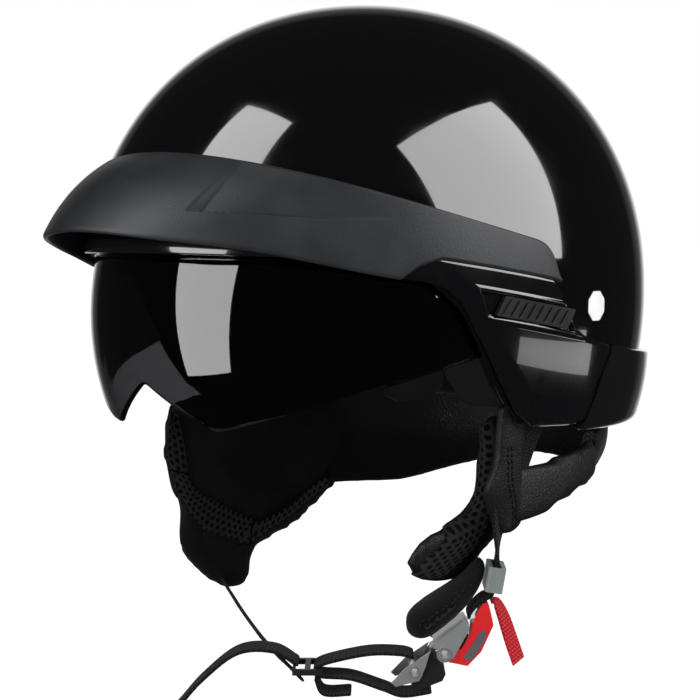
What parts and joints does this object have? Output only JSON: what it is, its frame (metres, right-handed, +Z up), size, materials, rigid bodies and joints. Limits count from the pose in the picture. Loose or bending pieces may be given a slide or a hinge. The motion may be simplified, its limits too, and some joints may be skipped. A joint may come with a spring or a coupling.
{
  "type": "half shell motorcycle helmet",
  "caption": "Open half shell motorcycle helmet with a clip-on peak, a drop-down sun lens, padded ear flaps, a nape curtain and a chin strap with a ratchet buckle.",
  "frame": {"origin": "centre of the head cavity, on the dome's widest level, in the middle plane", "axes": "+Z up to the crown, -Y the way the wearer looks, +X the wearer's left"},
  "size_m": [0.248, 0.3058, 0.3246],
  "materials": {
    "shell_black": "high gloss clear coat",
    "trim_black": "gloss",
    "liner_foam": "moulded bead foam, painted black",
    "cover_black": "gloss",
    "slider_black": "satin gloss",
    "band_black": "gloss",
    "sticker_white": "paper film, bare",
    "peak_grey": "fine moulded texture",
    "smoke_lens": "polished, dark smoke",
    "tab_black": "satin",
    "bracket_black": "satin",
    "screw_steel": "zinc plated",
    "lining_black": "brushed knit",
    "mesh_black": "spacer mesh with a bound edge",
    "curtain_black": "grained vinyl",
    "anchor_steel": "zinc plated",
    "webbing_black": "woven webbing",
    "keeper_grey": "satin",
    "pad_black": "brushed knit",
    "buckle_steel": "fine blasted",
    "rivet_steel": "turned",
    "lever_red": "gloss",
    "inlay_grey": "satin",
    "ribbon_red": "ribbed woven ribbon",
    "spring_steel": "drawn wire",
    "rack_steel": "stamped",
    "holder_black": "satin",
    "clevis_steel": "fine blasted",
    "adjuster_black": "satin"
  },
  "bodies": {
    "helmet": {"outer_shell": "shell_black", "edge_trim": "trim_black", "eps_liner": "liner_foam", "side_cover_left": "cover_black", "side_cover_right": "cover_black", "rear_band": "band_black", "size_sticker": "sticker_white", "lens_bracket_left": "bracket_black", "lens_bracket_right": "bracket_black", "lens_pivot_screws": "screw_steel", "crown_pad": "lining_black", "brow_pad": "lining_black", "nape_pad": "lining_black", "side_pad_left": "lining_black", "side_pad_right": "lining_black", "ear_flap_left": "mesh_black", "ear_flap_right": "mesh_black", "nape_curtain": "curtain_black", "strap_anchors": "anchor_steel", "cover_screws": "screw_steel", "strap_left": "webbing_black", "strap_right": "webbing_black", "strap_keeper": "keeper_grey", "chin_pad": "pad_black", "buckle_frame": "buckle_steel", "lever_pin": "rivet_steel", "lever_springs": "spring_steel"},
    "peak": {"peak": "peak_grey"},
    "lens": {"sun_lens": "smoke_lens", "lens_tab": "tab_black"},
    "lock_left": {"lock_slider_left": "slider_black"},
    "lock_right": {"lock_slider_right": "slider_black"},
    "lever": {"buckle_lever": "lever_red", "lever_inlays": "inlay_grey", "pull_ribbon": "ribbon_red"},
    "tongue": {"tongue_rack": "rack_steel", "tongue_holder": "holder_black", "tongue_clevis": "clevis_steel", "tongue_pin": "rivet_steel", "strap_loop": "webbing_black", "strap_tail": "webbing_black", "strap_adjuster": "adjuster_black"}
  },
  "joints": [
    {"name": "lens_swing", "type": "hinge", "parent": "helmet", "child": "lens", "pos_m": [0, -0.016, -0.01001], "axis": [-1, 0, 0], "range_deg": [0, 38]},
    {"name": "lock_left_slide", "type": "slide", "parent": "helmet", "child": "lock_left", "axis": [-0.1233, -0.978, 0.1682], "range_m": [0, 0.0064]},
    {"name": "lock_right_slide", "type": "slide", "parent": "helmet", "child": "lock_right", "axis": [0.1233, -0.978, 0.1682], "range_m": [0, 0.0064]},
    {"name": "peak_pull", "type": "slide", "parent": "helmet", "child": "peak", "axis": [0, -0.9701, 0.2425], "range_m": [0, 0.048]},
    {"name": "lever_open", "type": "hinge", "parent": "helmet", "child": "lever", "pos_m": [0.0741, -0.02693, -0.15576], "axis": [-0.7193, 0.6947, 0], "range_deg": [0, 35], "stiffness_Nm_per_rad": 0.02},
    {"name": "tongue_draw", "type": "slide", "parent": "helmet", "child": "tongue", "axis": [-0.5557, -0.5755, -0.6], "range_m": [0, 0.012], "deforming": ["strap_right"]}
  ]
}
